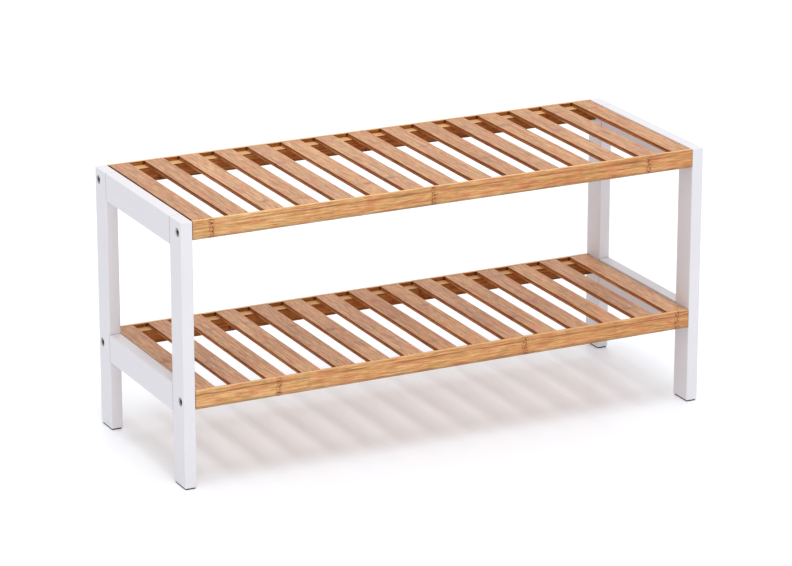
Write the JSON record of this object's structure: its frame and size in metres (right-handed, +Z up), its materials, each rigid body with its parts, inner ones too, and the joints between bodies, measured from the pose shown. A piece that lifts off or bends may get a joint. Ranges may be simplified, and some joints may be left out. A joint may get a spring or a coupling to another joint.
{
  "type": "entryway bench",
  "caption": "Low slatted shoe bench for an entryway: white lacquered side frames carry an upper and a lower shelf of bamboo slats let into rebated rails.",
  "frame": {"origin": "middle of the footprint at floor level, halfway between the two side frames and between front and back", "axes": "+X along the length to the right seen from the front, +Y to the back, +Z up"},
  "size_m": [0.7, 0.26, 0.33],
  "materials": {
    "white_lacquer": "opaque white satin lacquer on board",
    "bamboo_rail": "clear satin lacquer on laminated bamboo strips",
    "bamboo_slat": "clear satin lacquer on bamboo",
    "zinc_steel": "zinc plated steel, dull",
    "beech_dowel": "raw beech",
    "foot_rubber": "matt dark grey rubber"
  },
  "bodies": {
    "root": {"left_front_leg": "white_lacquer", "left_back_leg": "white_lacquer", "right_front_leg": "white_lacquer", "right_back_leg": "white_lacquer", "left_front_foot_pad": "foot_rubber", "left_back_foot_pad": "foot_rubber", "right_front_foot_pad": "foot_rubber", "right_back_foot_pad": "foot_rubber", "left_upper_side_rail": "white_lacquer", "left_lower_side_rail": "white_lacquer", "right_upper_side_rail": "white_lacquer", "right_lower_side_rail": "white_lacquer", "upper_front_rail": "bamboo_rail", "upper_back_rail": "bamboo_rail", "lower_front_rail": "bamboo_rail", "lower_back_rail": "bamboo_rail", "upper_slat_1": "bamboo_slat", "upper_slat_2": "bamboo_slat", "upper_slat_3": "bamboo_slat", "upper_slat_4": "bamboo_slat", "upper_slat_5": "bamboo_slat", "upper_slat_6": "bamboo_slat", "upper_slat_7": "bamboo_slat", "upper_slat_8": "bamboo_slat", "upper_slat_9": "bamboo_slat", "upper_slat_10": "bamboo_slat", "upper_slat_11": "bamboo_slat", "upper_slat_12": "bamboo_slat", "upper_slat_13": "bamboo_slat", "upper_slat_14": "bamboo_slat", "upper_slat_15": "bamboo_slat", "lower_slat_1": "bamboo_slat", "lower_slat_2": "bamboo_slat", "lower_slat_3": "bamboo_slat", "lower_slat_4": "bamboo_slat", "lower_slat_5": "bamboo_slat", "lower_slat_6": "bamboo_slat", "lower_slat_7": "bamboo_slat", "lower_slat_8": "bamboo_slat", "lower_slat_9": "bamboo_slat", "lower_slat_10": "bamboo_slat", "lower_slat_11": "bamboo_slat", "lower_slat_12": "bamboo_slat", "lower_slat_13": "bamboo_slat", "lower_slat_14": "bamboo_slat", "lower_slat_15": "bamboo_slat", "rail_bolts": "zinc_steel", "barrel_nuts": "zinc_steel", "left_frame_dowels": "beech_dowel", "right_frame_dowels": "beech_dowel"}
  },
  "joints": []
}
